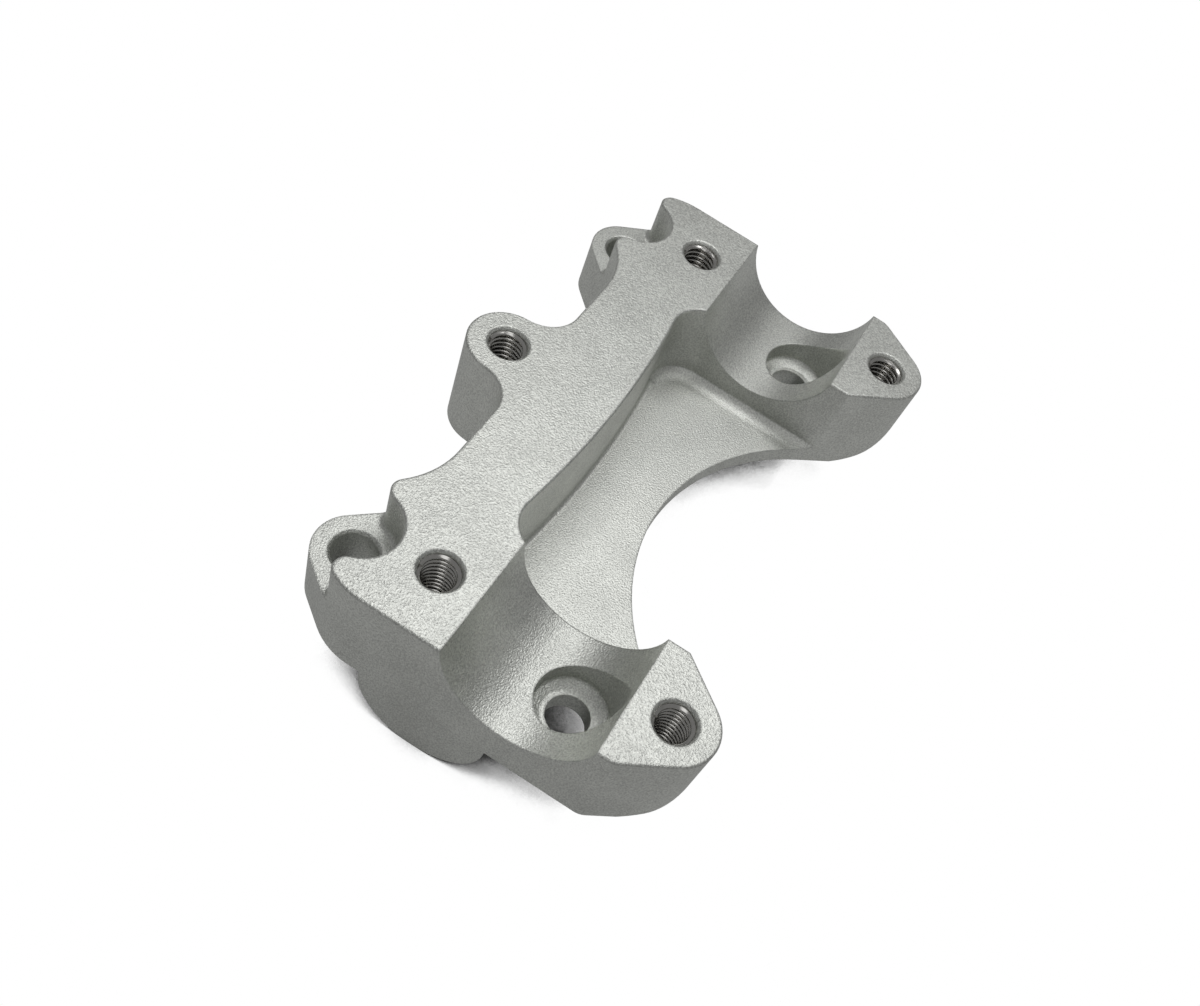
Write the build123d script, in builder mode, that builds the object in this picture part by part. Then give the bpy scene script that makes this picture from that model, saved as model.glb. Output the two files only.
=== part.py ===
from build123d import *
from math import acos, atan2, cos, degrees, hypot, radians, sin, sqrt, tan
import os

os.makedirs("parts", exist_ok=True)

# A handlebar riser for a motorbike, milled from one aluminium billet, with wire thread inserts.
# X runs along the handlebar, +Y points to the bridge and +Z points up.
# The origin lies on the handlebar's axis, halfway along the riser.
# Every size is in millimetres.

# Handlebar seats, one at each end
bar_radius = 16.2
cap_gap = 2.0
riser_length = 138.8
seat_length = 28.45

# Heights: of the block over its flat underside, of the shelf, and of the lugs below the top face
block_height = 24.3
shelf_thickness = 4.3
lug_drop = 10.9

# Bolt positions, across from each end wall and along the riser's depth
bolt_inset = 13.95
bar_bolt_spacing = 50.0
clamp_bolt_spacing = 50.0
clamp_bolt_front_y = -7.75
centre_bolt_y = 44.45

# Ears in front of the bar
ear_tip_radius = 8.85
ear_side_angle = 32.5
ear_blend_radius = 4.5
ear_nose_radius = 11.5

# Front bay between the ears
bay_side_angle = 38.0
bay_depth_y = 0.65

# Bridge behind the bar
bridge_front_y = 18.05
bridge_front_radius = 237.0
bridge_foot_radius = 1.0
bridge_rear_y = 37.25
pocket_corner_radius = 8.0
centre_lug_radius = 8.9
centre_flank_radius = 8.0

# Rear lugs for the clamp bolts
rear_sweep_radius = 20.0
rear_sweep_angle = 45.0
lug_radius = 8.45
lug_side_angle = 37.4
lug_side_blend_radius = 15.0

# Scallop that clears the head of each rear clamp bolt
scallop_radius = 8.05
scallop_foot_radius = 1.2
scallop_tip_radius = 3.0
scallop_horn_radius = 2.8

# Ramp at the foot of each block's inner wall
ramp_height = 1.4
ramp_radius = 5.0

# Clamp bolt holes
clamp_hole_radius = 4.6
lug_hole_chamfer = 0.6
counterbore_radius = 8.0
counterbore_foot_chamfer = 0.4
head_seat_thickness = 5.75
seat_ring_radius = 5.6
seat_dish_depth = 0.85

# M8 thread inserts and the holes that hold them
insert_radius = 4.15
insert_length = 16.0
thread_crest_radius = 3.32
insert_sink = 0.6
insert_hole_chamfer = 0.6
insert_hole_spare = 1.6
drill_point_angle = 118.0

# Half-round foot that fills the old handlebar seat
foot_radius = 14.2
foot_y = 15.9

# Broken edges
top_edge_chamfer = 0.35
bottom_edge_chamfer = 0.5

# Room that a cut takes beyond the billet
cut_room = 5.0

# Places that follow from the sizes above
end_x = riser_length / 2
inner_x = end_x - seat_length
bolt_x = end_x - bolt_inset
top_z = -cap_gap
base_z = top_z - block_height
shelf_top_z = base_z + shelf_thickness
lug_top_z = top_z - lug_drop
head_seat_z = base_z + head_seat_thickness
insert_top_z = top_z - insert_sink
lug_centre = (bolt_x, clamp_bolt_front_y + clamp_bolt_spacing)
ear_centre = (bolt_x, -bar_bolt_spacing / 2)
centre_lug_centre = (0.0, centre_bolt_y)
front_y = ear_centre[1] - ear_tip_radius


def on_circle(centre, radius, angle):
    """The point of a circle in plan, at an angle from +X."""
    return (centre[0] + radius * cos(radians(angle)), centre[1] + radius * sin(radians(angle)))


def angle_to(start, end):
    """The angle from +X of the way from one point in plan to another."""
    return degrees(atan2(end[1] - start[1], end[0] - start[0]))


def circles_meet(centre_a, radius_a, centre_b, radius_b):
    """Where two circles cross, on the left of the way from the first centre to the second."""
    distance = hypot(centre_b[0] - centre_a[0], centre_b[1] - centre_a[1])
    along = (radius_a**2 - radius_b**2 + distance**2) / (2 * distance)
    return on_circle(centre_a, radius_a, angle_to(centre_a, centre_b) + degrees(acos(along / radius_a)))


def end_blend_centre(blend_radius, boss_centre, boss_radius, side_angle):
    """The centre of the blend between the end wall and the sloping side of a round boss."""
    x = end_x - blend_radius
    slope_x = cos(radians(side_angle)) * (x - boss_centre[0])
    return (x, boss_centre[1] + (boss_radius - blend_radius - slope_x) / sin(radians(side_angle)))


# Centres of the arcs in the plan outline
flank_reach = centre_lug_radius + centre_flank_radius
flank_y = bridge_rear_y + centre_flank_radius
flank_centre = (sqrt(flank_reach**2 - (flank_y - centre_bolt_y) ** 2), flank_y)
sweep_y = bridge_rear_y + rear_sweep_radius
sweep_rise = (sweep_y - lug_centre[1]) * cos(radians(rear_sweep_angle))
sweep_shift = (sweep_rise - rear_sweep_radius - lug_radius) / sin(radians(rear_sweep_angle))
sweep_centre = (lug_centre[0] + sweep_shift, sweep_y)
lug_blend_centre = end_blend_centre(lug_side_blend_radius, lug_centre, lug_radius, lug_side_angle)
ear_blend_centre = end_blend_centre(ear_blend_radius, ear_centre, ear_tip_radius, -ear_side_angle)
bay_reach = ear_centre[0] * cos(radians(bay_side_angle)) - ear_tip_radius
bay_drop = (bay_depth_y - ear_centre[1]) * sin(radians(bay_side_angle))
bay_radius = (bay_reach - bay_drop) / (1 - sin(radians(bay_side_angle)))
bay_centre = (0.0, bay_depth_y - bay_radius)

# Centres of the arcs round the scallop
tip_centre = circles_meet(
    lug_centre,
    scallop_radius + scallop_tip_radius,
    sweep_centre,
    rear_sweep_radius + scallop_tip_radius,
)
horn_centre = circles_meet(
    lug_centre,
    scallop_radius + scallop_horn_radius,
    lug_blend_centre,
    lug_side_blend_radius - scallop_horn_radius,
)
horn_end_angle = angle_to(lug_blend_centre, horn_centre)

# Centres of the arcs round the pocket between the blocks
bridge_arc_centre = (0.0, bridge_front_y + bridge_front_radius)
corner_x = inner_x - pocket_corner_radius
corner_reach = bridge_front_radius + pocket_corner_radius
corner_centre = (corner_x, bridge_arc_centre[1] - sqrt(corner_reach**2 - corner_x**2))
corner_angle = angle_to(corner_centre, bridge_arc_centre)


def upright_axis(place):
    """The vertical axis through a point in plan."""
    return Axis((place[0], place[1], 0), (0, 0, 1))


def upright_plane(place, turn=0):
    """A plane through that axis, with local X outwards at an angle from +X and local Y upwards."""
    outwards_x = cos(radians(turn))
    outwards_y = sin(radians(turn))
    return Plane((place[0], place[1], 0), (outwards_x, outwards_y, 0), (outwards_y, -outwards_x, 0))


def draw_arc(centre, radius, start_angle, end_angle):
    """An arc that turns anticlockwise from one angle to another."""
    return CenterArc(centre, radius, start_angle, end_angle - start_angle)


def draw_rear_edge():
    """The centre lug, its concave flank and the straight rear wall, up to the sweep."""
    flank_angle = angle_to(centre_lug_centre, flank_centre)
    draw_arc(centre_lug_centre, centre_lug_radius, flank_angle, 90)
    draw_arc(flank_centre, centre_flank_radius, flank_angle + 180, 270)
    Line((flank_centre[0], bridge_rear_y), (sweep_centre[0], bridge_rear_y))


def draw_end_and_front():
    """The end wall, the ear and the bay, from the lug's blend to the middle of the front."""
    Line((end_x, lug_blend_centre[1]), (end_x, ear_blend_centre[1]))
    draw_arc(ear_blend_centre, ear_blend_radius, -ear_side_angle, 0)
    Line(
        on_circle(ear_blend_centre, ear_blend_radius, -ear_side_angle),
        on_circle(ear_centre, ear_tip_radius, -ear_side_angle),
    )
    draw_arc(ear_centre, ear_tip_radius, bay_side_angle - 180, -ear_side_angle)
    Line(
        on_circle(ear_centre, ear_tip_radius, bay_side_angle + 180),
        on_circle(bay_centre, bay_radius, bay_side_angle),
    )
    draw_arc(bay_centre, bay_radius, bay_side_angle, 90)


# The outline at the level of the lugs
with BuildSketch(Plane.XY.offset(base_z)) as lower_outline:
    with BuildLine():
        draw_rear_edge()
        draw_arc(sweep_centre, rear_sweep_radius, 270, 270 + rear_sweep_angle)
        Line(
            on_circle(sweep_centre, rear_sweep_radius, 270 + rear_sweep_angle),
            on_circle(lug_centre, lug_radius, 90 + rear_sweep_angle),
        )
        draw_arc(lug_centre, lug_radius, lug_side_angle, 90 + rear_sweep_angle)
        Line(
            on_circle(lug_centre, lug_radius, lug_side_angle),
            on_circle(lug_blend_centre, lug_side_blend_radius, lug_side_angle),
        )
        draw_arc(lug_blend_centre, lug_side_blend_radius, 0, lug_side_angle)
        draw_end_and_front()
        mirror(about=Plane.YZ)
    make_face()

# The outline above the lugs, with the scallops and their rounded tips and horns
with BuildSketch(Plane.XY.offset(lug_top_z)) as upper_outline:
    with BuildLine():
        draw_rear_edge()
        draw_arc(sweep_centre, rear_sweep_radius, 270, 360 + angle_to(sweep_centre, tip_centre))
        draw_arc(
            tip_centre,
            scallop_tip_radius,
            angle_to(tip_centre, lug_centre),
            angle_to(tip_centre, sweep_centre),
        )
        draw_arc(
            lug_centre,
            scallop_radius,
            360 + angle_to(lug_centre, tip_centre),
            360 + angle_to(lug_centre, horn_centre),
        )
        draw_arc(horn_centre, scallop_horn_radius, horn_end_angle, angle_to(horn_centre, lug_centre))
        draw_arc(lug_blend_centre, lug_side_blend_radius, 0, horn_end_angle)
        draw_end_and_front()
        mirror(about=Plane.YZ)
    make_face()

# The pocket milled out between the blocks, down to the shelf
with BuildPart() as pocket:
    with BuildSketch(Plane.XY.offset(shelf_top_z)):
        with BuildLine():
            draw_arc(bridge_arc_centre, bridge_front_radius, 270, 180 + corner_angle)
            draw_arc(corner_centre, pocket_corner_radius, 0, corner_angle)
            Polyline(
                (inner_x, corner_centre[1]),
                (inner_x, front_y - cut_room),
                (0, front_y - cut_room),
                (0, bridge_front_y),
            )
        make_face()
    extrude(amount=block_height)
    floor_edges = pocket.edges().group_by(Axis.Z)[0]
    fillet(floor_edges.sort_by(Axis.Y)[-1], bridge_foot_radius)
    # Each ramp is left standing: a concave arc from the shelf to a crease on the block's wall
    ramp_foot = sqrt(2 * ramp_radius * ramp_height - ramp_height**2)
    with BuildSketch(Plane.XZ.offset(-corner_centre[1])) as ramp:
        with BuildLine():
            RadiusArc(
                (inner_x, shelf_top_z + ramp_height), (inner_x - ramp_foot, shelf_top_z), ramp_radius
            )
            Polyline(
                (inner_x - ramp_foot, shelf_top_z),
                (inner_x, shelf_top_z),
                (inner_x, shelf_top_z + ramp_height),
            )
        make_face()
    extrude(amount=corner_centre[1] - front_y + cut_room, mode=Mode.SUBTRACT)
    revolve(
        ramp.sketch,
        axis=upright_axis(corner_centre),
        revolution_arc=corner_angle,
        mode=Mode.SUBTRACT,
    )
    mirror(about=Plane.YZ)

# The small concave rounding on the lug's top face, along the foot of the scallop, tip and horn
scallop_arcs = (
    (lug_centre, scallop_radius, -1, angle_to(lug_centre, tip_centre), angle_to(lug_centre, horn_centre)),
    (tip_centre, scallop_tip_radius, 1, angle_to(tip_centre, lug_centre), angle_to(tip_centre, sweep_centre)),
    (horn_centre, scallop_horn_radius, 1, horn_end_angle, angle_to(horn_centre, lug_centre)),
)
with BuildPart() as scallop_feet:
    for arc_centre, wall_radius, outwards, start_angle, end_angle in scallop_arcs:
        toe_radius = wall_radius + outwards * scallop_foot_radius
        with BuildSketch(upright_plane(arc_centre, start_angle)) as foot_section:
            with BuildLine():
                Polyline(
                    (toe_radius, lug_top_z),
                    (wall_radius, lug_top_z),
                    (wall_radius, lug_top_z + scallop_foot_radius),
                )
                RadiusArc(
                    (wall_radius, lug_top_z + scallop_foot_radius),
                    (toe_radius, lug_top_z),
                    -outwards * scallop_foot_radius,
                )
            make_face()
        revolve(
            foot_section.sketch,
            axis=upright_axis(arc_centre),
            revolution_arc=(end_angle - start_angle) % 360,
        )
    extrude(lower_outline.sketch, amount=block_height, mode=Mode.INTERSECT)
    mirror(about=Plane.YZ)

# The level above the lugs, with its scallops and its top edges broken all round
with BuildPart() as upper_level:
    extrude(upper_outline.sketch, amount=lug_drop)
    add(scallop_feet.part)
    add(pocket.part, mode=Mode.SUBTRACT)
    chamfer(upper_level.edges().group_by(Axis.Z)[-1], top_edge_chamfer)

with BuildPart() as riser_body:
    # The level of the lugs, with its bottom edges broken all round
    extrude(lower_outline.sketch, amount=block_height - lug_drop)
    chamfer(riser_body.edges().group_by(Axis.Z)[0], bottom_edge_chamfer)
    add(pocket.part, mode=Mode.SUBTRACT)
    add(upper_level.part)

    # The ears' undersides rise in a round nose to their tips
    with BuildSketch(Plane.YZ.offset(-end_x)):
        with BuildLine():
            nose_y = front_y + ear_nose_radius
            nose_z = base_z + ear_nose_radius
            draw_arc((nose_y, nose_z), ear_nose_radius, 180, 270)
            Polyline(
                (nose_y, base_z),
                (nose_y, base_z - cut_room),
                (front_y - cut_room, base_z - cut_room),
                (front_y - cut_room, nose_z),
                (front_y, nose_z),
            )
        make_face()
    extrude(amount=riser_length, mode=Mode.SUBTRACT)

    # A half-round foot under each block, flush with the end wall
    for foot_start_x in (-end_x, inner_x):
        with BuildSketch(Plane.YZ.offset(foot_start_x)):
            with BuildLine():
                draw_arc((foot_y, base_z), foot_radius, 180, 360)
                Polyline(
                    (foot_y + foot_radius, base_z),
                    (foot_y + foot_radius, base_z + bottom_edge_chamfer),
                    (foot_y - foot_radius, base_z + bottom_edge_chamfer),
                    (foot_y - foot_radius, base_z),
                )
            make_face()
        extrude(amount=seat_length)

    # The handlebar seats, bored right through both blocks
    with BuildSketch(Plane.YZ.offset(-end_x - cut_room)):
        Circle(bar_radius)
    extrude(amount=riser_length + 2 * cut_room, mode=Mode.SUBTRACT)

    # Clamp bolt holes: a counterbore with a dished floor in front, a chamfered hole in the lug behind
    for side in (-1, 1):
        front_hole = (side * bolt_x, clamp_bolt_front_y)
        rear_hole = (side * bolt_x, lug_centre[1])
        with BuildSketch(upright_plane(front_hole)):
            with BuildLine():
                Polyline(
                    (0, cut_room),
                    (0, base_z - cut_room),
                    (clamp_hole_radius, base_z - cut_room),
                    (clamp_hole_radius, head_seat_z - seat_dish_depth),
                    (seat_ring_radius, head_seat_z - seat_dish_depth),
                    (counterbore_radius - counterbore_foot_chamfer, head_seat_z),
                    (counterbore_radius, head_seat_z + counterbore_foot_chamfer),
                    (counterbore_radius, cut_room),
                    (0, cut_room),
                )
            make_face()
        revolve(axis=upright_axis(front_hole), mode=Mode.SUBTRACT)
        with BuildSketch(upright_plane(rear_hole)):
            with BuildLine():
                Polyline(
                    (0, lug_top_z + cut_room),
                    (0, base_z - cut_room),
                    (clamp_hole_radius, base_z - cut_room),
                    (clamp_hole_radius, lug_top_z - lug_hole_chamfer),
                    (clamp_hole_radius + lug_hole_chamfer, lug_top_z),
                    (clamp_hole_radius + lug_hole_chamfer, lug_top_z + cut_room),
                    (0, lug_top_z + cut_room),
                )
            make_face()
        revolve(axis=upright_axis(rear_hole), mode=Mode.SUBTRACT)

    # Drilled and tapped holes for the thread inserts
    insert_places = {
        "insert_rear_left": (-bolt_x, bar_bolt_spacing / 2),
        "insert_rear_right": (bolt_x, bar_bolt_spacing / 2),
        "insert_front_left": (-bolt_x, -bar_bolt_spacing / 2),
        "insert_front_right": (bolt_x, -bar_bolt_spacing / 2),
        "insert_centre": centre_lug_centre,
    }
    hole_floor_z = insert_top_z - insert_length - insert_hole_spare
    drill_point_z = hole_floor_z - insert_radius / tan(radians(drill_point_angle / 2))
    for place in insert_places.values():
        with BuildSketch(upright_plane(place)):
            with BuildLine():
                Polyline(
                    (0, cut_room),
                    (0, drill_point_z),
                    (insert_radius, hole_floor_z),
                    (insert_radius, top_z - insert_hole_chamfer),
                    (insert_radius + insert_hole_chamfer, top_z),
                    (insert_radius + insert_hole_chamfer, cut_room),
                    (0, cut_room),
                )
            make_face()
        revolve(axis=upright_axis(place), mode=Mode.SUBTRACT)

riser_body.part.label = "riser_body"
export_step(riser_body.part, "parts/riser_body.step")

# The wire thread inserts, each as the plain sleeve that its coil fills
for name, place in insert_places.items():
    with BuildPart() as thread_insert:
        with BuildSketch(Plane((place[0], place[1], insert_top_z))):
            Circle(insert_radius)
            Circle(thread_crest_radius, mode=Mode.SUBTRACT)
        extrude(amount=-insert_length)
    thread_insert.part.label = name
    export_step(thread_insert.part, f"parts/{name}.step")
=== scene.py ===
import math

import bpy
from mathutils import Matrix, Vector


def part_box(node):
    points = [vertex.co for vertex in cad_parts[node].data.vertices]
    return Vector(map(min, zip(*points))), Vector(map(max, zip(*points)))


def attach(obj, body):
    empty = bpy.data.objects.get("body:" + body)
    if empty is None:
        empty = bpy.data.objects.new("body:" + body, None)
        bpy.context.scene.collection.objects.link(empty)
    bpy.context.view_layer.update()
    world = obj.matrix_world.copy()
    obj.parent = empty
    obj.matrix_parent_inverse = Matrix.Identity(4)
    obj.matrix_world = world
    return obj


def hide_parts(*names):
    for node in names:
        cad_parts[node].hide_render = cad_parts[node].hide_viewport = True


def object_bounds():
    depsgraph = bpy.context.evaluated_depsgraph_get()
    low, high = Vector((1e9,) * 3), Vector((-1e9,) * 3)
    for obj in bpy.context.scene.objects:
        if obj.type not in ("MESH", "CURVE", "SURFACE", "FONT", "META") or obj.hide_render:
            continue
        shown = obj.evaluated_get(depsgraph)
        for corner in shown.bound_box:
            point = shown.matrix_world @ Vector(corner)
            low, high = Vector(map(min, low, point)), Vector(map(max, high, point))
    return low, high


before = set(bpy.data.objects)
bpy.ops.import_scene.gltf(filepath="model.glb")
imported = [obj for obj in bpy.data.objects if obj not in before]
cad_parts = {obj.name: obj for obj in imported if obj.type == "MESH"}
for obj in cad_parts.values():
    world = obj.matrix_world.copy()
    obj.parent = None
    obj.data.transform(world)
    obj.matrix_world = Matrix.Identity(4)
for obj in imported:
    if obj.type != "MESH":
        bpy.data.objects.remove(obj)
cad_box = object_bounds()
scene = bpy.context.scene
scene.view_settings.view_transform = "Standard"

# The camera stands beyond the riser's left end, about 180 mm above the bar, and looks down along it.
# Its place, turn and lens come from the riser's own edges, measured in the photograph.
camera_place = (-0.16774, -0.01485, 0.17833)
camera_turn_degrees = (31.266, -15.207, -60.636)
frame_width_px = 1200
frame_height_px = 1006
focal_length_px = 1194.9
optical_centre_px = (594.9, 611.3)
sensor_width_mm = 36.0
nearest_seen = 0.01
farthest_seen = 10.0
bpy.ops.object.camera_add(
    location=camera_place, rotation=[math.radians(angle) for angle in camera_turn_degrees]
)
camera = bpy.context.object
camera.data.sensor_width = sensor_width_mm
camera.data.lens = focal_length_px / frame_width_px * sensor_width_mm
camera.data.shift_x = (frame_width_px / 2 - optical_centre_px[0]) / frame_width_px
camera.data.shift_y = (optical_centre_px[1] - frame_height_px / 2) / frame_width_px
camera.data.clip_start = nearest_seen
camera.data.clip_end = farthest_seen
scene.camera = camera

# The riser's body is one aluminium billet, milled all over, bead-blasted and then clear anodised.
# The blasting leaves a fine grain that glitters a little, on a soft silver grey, and dulls the edges.
# The grain is made weaker towards the right end, which lies out of focus in the photograph.
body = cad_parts["riser_body"]
grain_size = 0.00036
grain_height = 0.00014
left_grain_strength = 1.0
right_grain_strength = 0.45
edge_radius = 0.0006
cloud_size = 0.012
cloud_share = 0.25
dark_silver = (0.59, 0.60, 0.57, 1)
light_silver = (0.87, 0.885, 0.84, 1)
darkest_noise = 0.36
lightest_noise = 0.64
body_smoothest = 0.40
body_roughest = 0.51


def new_material(name):
    """A material and its shader."""
    material = bpy.data.materials.new(name)
    material.use_nodes = True
    return material, material.node_tree.nodes["Principled BSDF"]


def add_node(material, kind, **values):
    """A shader node with its own settings and its sockets' plain values."""
    node = material.node_tree.nodes.new(kind)
    for name, value in values.items():
        if name in node.inputs:
            node.inputs[name].default_value = value
        else:
            setattr(node, name, value)
    return node


def join(material, source, target):
    """A link from one node's output to another node's input."""
    material.node_tree.links.new(source, target)


def value_between(material, source, first, last, start=0.0, end=1.0):
    """A value that goes from first to last while its source goes from start to end."""
    node = add_node(material, "ShaderNodeMapRange")
    node.inputs["From Min"].default_value = start
    node.inputs["From Max"].default_value = end
    node.inputs["To Min"].default_value = first
    node.inputs["To Max"].default_value = last
    join(material, source, node.inputs["Value"])
    return node.outputs["Result"]


def colour_between(material, source, first, last, start=0.0, end=1.0):
    """A colour that goes from first to last while its source goes from start to end."""
    node = add_node(material, "ShaderNodeValToRGB")
    node.color_ramp.elements[0].position = start
    node.color_ramp.elements[0].color = first
    node.color_ramp.elements[1].position = end
    node.color_ramp.elements[1].color = last
    join(material, source, node.inputs["Fac"])
    return node.outputs["Color"]


blasted, shader = new_material("blasted_aluminium")
shader.inputs["Metallic"].default_value = 1.0
places = add_node(blasted, "ShaderNodeTexCoord")

grain = add_node(blasted, "ShaderNodeTexNoise", Scale=1 / grain_size, Detail=1.0)
join(blasted, places.outputs["Object"], grain.inputs["Vector"])
along = add_node(blasted, "ShaderNodeSeparateXYZ")
join(blasted, places.outputs["Object"], along.inputs["Vector"])
grain_strength = value_between(
    blasted, along.outputs["X"], left_grain_strength, right_grain_strength, cad_box[0].x, cad_box[1].x
)
dull_edges = add_node(blasted, "ShaderNodeBevel", Radius=edge_radius, samples=4)
grain_bump = add_node(blasted, "ShaderNodeBump", Distance=grain_height)
join(blasted, grain_strength, grain_bump.inputs["Strength"])
join(blasted, dull_edges.outputs["Normal"], grain_bump.inputs["Normal"])
join(blasted, grain.outputs["Fac"], grain_bump.inputs["Height"])
join(blasted, grain_bump.outputs["Normal"], shader.inputs["Normal"])

clouds = add_node(blasted, "ShaderNodeTexNoise", Scale=1 / cloud_size, Detail=4.0, Roughness=0.5)
join(blasted, places.outputs["Object"], clouds.inputs["Vector"])
tone = add_node(blasted, "ShaderNodeMixRGB", Fac=cloud_share)
join(blasted, grain.outputs["Fac"], tone.inputs["Color1"])
join(blasted, clouds.outputs["Fac"], tone.inputs["Color2"])
silver = colour_between(
    blasted, tone.outputs["Color"], dark_silver, light_silver, darkest_noise, lightest_noise
)
join(blasted, silver, shader.inputs["Base Color"])
dullness = value_between(blasted, grain.outputs["Fac"], body_smoothest, body_roughest)
join(blasted, dullness, shader.inputs["Roughness"])
body.data.materials.clear()
body.data.materials.append(blasted)

# Each thread insert is a coil of rolled stainless wire, screwed into a tapped hole until it sits just
# below the surface. The wire's inner side is a rounded ridge, and its turns make the thread of an M8
# bolt. Drawing the wire has left faint streaks along it.
streak_scale = 900.0
streak_stretch = (1, 1, 12)
dark_steel = (0.46, 0.45, 0.43, 1)
light_steel = (0.78, 0.77, 0.74, 1)
wire_smoothest = 0.13
wire_roughest = 0.23
bright_wire, shader = new_material("stainless_wire")
shader.inputs["Metallic"].default_value = 1.0
places = add_node(bright_wire, "ShaderNodeTexCoord")
stretch = add_node(bright_wire, "ShaderNodeMapping", Scale=streak_stretch)
join(bright_wire, places.outputs["Object"], stretch.inputs["Vector"])
streaks = add_node(bright_wire, "ShaderNodeTexNoise", Scale=streak_scale, Detail=3.0)
join(bright_wire, stretch.outputs["Vector"], streaks.inputs["Vector"])
steel = colour_between(bright_wire, streaks.outputs["Fac"], dark_steel, light_steel)
join(bright_wire, steel, shader.inputs["Base Color"])
dullness = value_between(bright_wire, streaks.outputs["Fac"], wire_smoothest, wire_roughest)
join(bright_wire, dullness, shader.inputs["Roughness"])

pitch = 0.00125
wire_height = 0.00110
steps_per_turn = 64
wire_end_turn_degrees = 100
smooth_angle_degrees = 50
merge_distance = 0.000001
# Half the wire's height, at each depth in from the coil's outer face, from the ridge to the flat back
wire_half_heights = (
    (0.00083, 0.00005),
    (0.00081, 0.00012),
    (0.00075, 0.00020),
    (0.00062, 0.000285),
    (0.00044, 0.00038),
    (0.00020, 0.00049),
    (0.00010, wire_height / 2),
    (0.00002, 0.00050),
    (0.0, 0.00040),
)
low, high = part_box("insert_centre")
outer_radius = (high.x - low.x) / 2
turns = (high.z - low.z - wire_height) / pitch
wire_section = [(outer_radius - depth, -half_height) for depth, half_height in wire_half_heights]
wire_section += [(outer_radius - depth, half_height) for depth, half_height in reversed(wire_half_heights)]
bpy.ops.object.select_all(action="DESELECT")
bpy.ops.mesh.primitive_circle_add(
    vertices=len(wire_section), radius=wire_height / 2, fill_type="NOTHING"
)
coil = bpy.context.object
for corner, (radius, rise) in zip(coil.data.vertices, wire_section):
    corner.co = (radius, 0, low.z + wire_height / 2 + rise)
screw = coil.modifiers.new("turns", "SCREW")
screw.axis = "Z"
screw.angle = math.radians(360 * turns)
screw.screw_offset = pitch * turns
screw.steps = round(steps_per_turn * turns)
screw.render_steps = screw.steps
screw.use_merge_vertices = False
bpy.ops.object.modifier_apply(modifier="turns")
bpy.ops.object.mode_set(mode="EDIT")
bpy.ops.mesh.select_all(action="SELECT")
bpy.ops.mesh.remove_doubles(threshold=merge_distance)
bpy.ops.mesh.select_all(action="DESELECT")
bpy.ops.mesh.select_non_manifold()
bpy.ops.mesh.edge_face_add()
bpy.ops.mesh.select_all(action="SELECT")
bpy.ops.mesh.normals_make_consistent(inside=False)
bpy.ops.object.mode_set(mode="OBJECT")
bpy.ops.object.shade_smooth_by_angle(angle=math.radians(smooth_angle_degrees))
coil.rotation_euler.z = math.radians(wire_end_turn_degrees - 360 * turns)
bpy.ops.object.transform_apply(location=False, rotation=True, scale=False)
coil.data.materials.append(bright_wire)

for place in ("rear_left", "rear_right", "front_left", "front_right", "centre"):
    low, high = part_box("insert_" + place)
    bpy.ops.object.select_all(action="DESELECT")
    coil.select_set(True)
    bpy.context.view_layer.objects.active = coil
    bpy.ops.object.duplicate(linked=False)
    insert = bpy.context.object
    insert.name = "wire_insert_" + place
    insert.location = ((low.x + high.x) / 2, (low.y + high.y) / 2, 0)
    bpy.ops.object.transform_apply(location=True, rotation=False, scale=False)
    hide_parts("insert_" + place)
    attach(insert, "root")
bpy.ops.object.select_all(action="DESELECT")
coil.select_set(True)
bpy.ops.object.delete()

# The riser stands on a plain pale table, which isn't part of the object. The camera sees the table as
# white, and the riser's metal mirrors a share of that white. Close under the riser, where little of the
# sky is open, painted shade takes the white away. There the camera sees a darker grey than the metal
# does, and the lamps' real shadow of the riser lies on it.
floor_width = 6.0
table_tone = 0.45
painted_shade_tone = 0.20
table_roughness = 0.9
table_mirrored_white = 0.185
shade_reach = 0.022
shade_samples = 16
dark_openness = 0.45
white_openness = 0.52


def add_white_share(material, rays, mirrored_white):
    """How white a surface is: fully to the camera and through glass, and in part where it is mirrored."""
    seen = add_node(material, "ShaderNodeMath", operation="ADD")
    join(material, rays.outputs["Is Camera Ray"], seen.inputs[0])
    join(material, rays.outputs["Is Transmission Ray"], seen.inputs[1])
    share = add_node(material, "ShaderNodeMath", operation="MULTIPLY_ADD")
    share.inputs[1].default_value = mirrored_white
    join(material, rays.outputs["Is Glossy Ray"], share.inputs[0])
    join(material, seen.outputs["Value"], share.inputs[2])
    return share.outputs["Value"]


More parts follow.
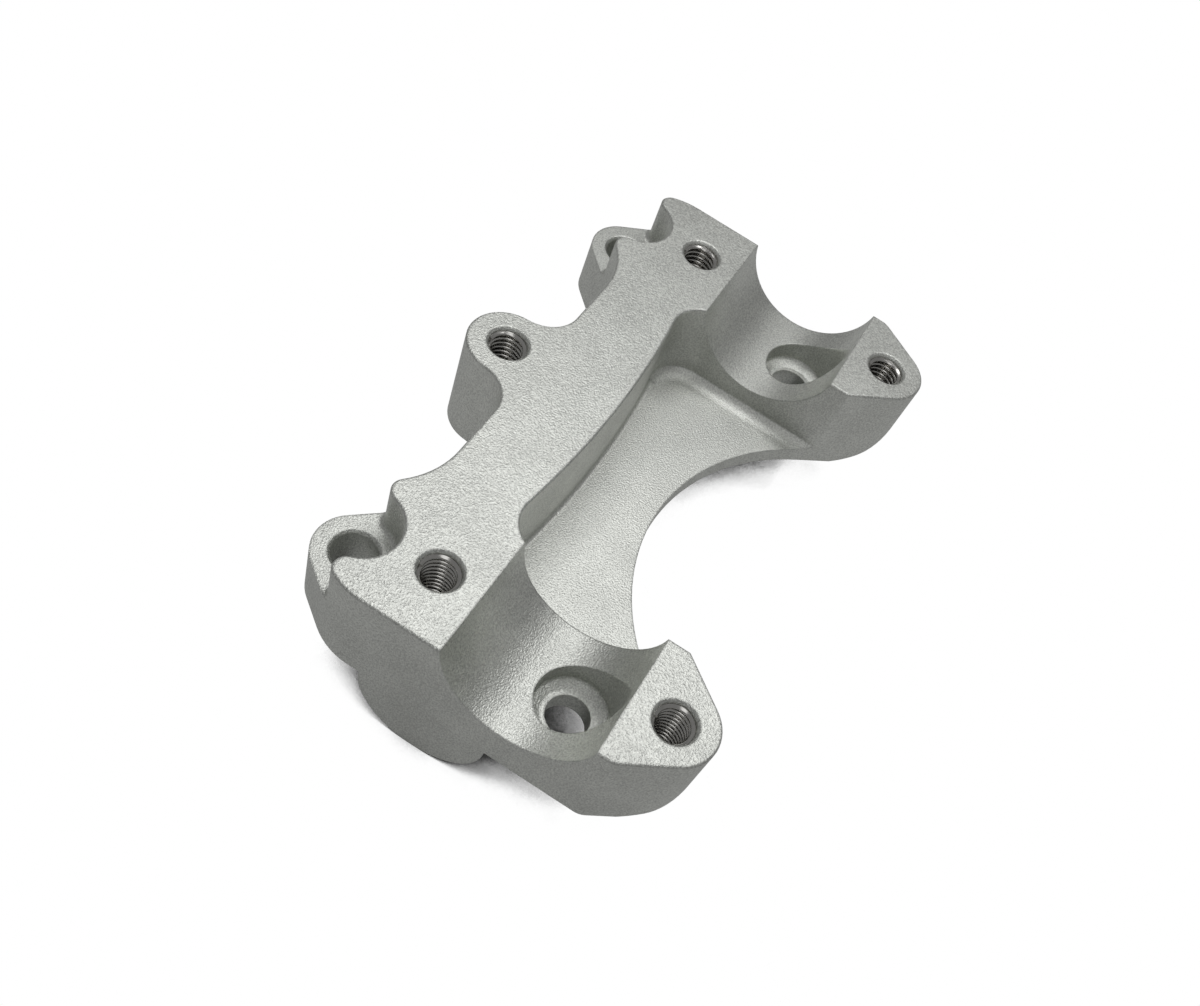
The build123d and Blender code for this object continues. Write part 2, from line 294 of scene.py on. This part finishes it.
bpy.ops.object.select_all(action="DESELECT")
bpy.ops.mesh.primitive_plane_add(size=floor_width, location=(0, 0, cad_box[0].z))
floor = bpy.context.object
floor.name = "floor"
table, shader = new_material("pale_table")
shader.inputs["Roughness"].default_value = table_roughness
shader.inputs["Specular IOR Level"].default_value = 0.0
rays = add_node(table, "ShaderNodeLightPath")
# Painted shade: the camera sees the table in a darker grey than the one the lamps light for the metal.
grey = value_between(table, rays.outputs["Is Camera Ray"], table_tone, painted_shade_tone)
join(table, grey, shader.inputs["Base Color"])
# Painted shade: where the occlusion finds the riser close above, the table loses its white.
openness = add_node(table, "ShaderNodeAmbientOcclusion", Distance=shade_reach, samples=shade_samples)
outside_painted_shade = value_between(table, openness.outputs["AO"], 0.0, 1.0, dark_openness, white_openness)
white_share = add_node(table, "ShaderNodeMath", operation="MULTIPLY")
join(table, add_white_share(table, rays, table_mirrored_white), white_share.inputs[0])
join(table, outside_painted_shade, white_share.inputs[1])
glow = add_node(table, "ShaderNodeEmission", Strength=1.0)
whiten = add_node(table, "ShaderNodeMixShader")
join(table, white_share.outputs["Value"], whiten.inputs["Fac"])
join(table, shader.outputs["BSDF"], whiten.inputs[1])
join(table, glow.outputs["Emission"], whiten.inputs[2])
join(table, whiten.outputs["Shader"], table.node_tree.nodes["Material Output"].inputs["Surface"])
floor.data.materials.append(table)

# A large soft lamp hangs beyond the riser's right end, so that the tops shine most near the camera.
# A weak one over the left end shows in the upper flanks of the inserts' wire.
main_lamp_place = (0.25, 0.06, 0.6)
main_lamp_size = (0.28, 0.58)
main_lamp_power = 1.44
weak_lamp_place = (-0.2, -0.09, 0.6)
weak_lamp_size = (0.38, 0.2)
weak_lamp_power = 0.23
for place, (width, depth), power in (
    (main_lamp_place, main_lamp_size, main_lamp_power),
    (weak_lamp_place, weak_lamp_size, weak_lamp_power),
):
    bpy.ops.object.light_add(type="AREA", location=place)
    lamp = bpy.context.object
    lamp.data.shape = "RECTANGLE"
    lamp.data.size = width
    lamp.data.size_y = depth
    lamp.data.energy = power

# Faint white light comes from all round. The camera sees a plain white background there, and the
# riser's metal mirrors a small share of that white.
sky_strength = 0.16
white_strength = 1.0
sky_mirrored_white = 0.05
world = scene.world or bpy.data.worlds.new("world")
scene.world = world
world.use_nodes = True
sky = world.node_tree.nodes["Background"]
sky.inputs["Color"].default_value = (1, 1, 1, 1)
rays = add_node(world, "ShaderNodeLightPath")
white_share = add_white_share(world, rays, sky_mirrored_white)
join(world, value_between(world, white_share, sky_strength, white_strength), sky.inputs["Strength"])
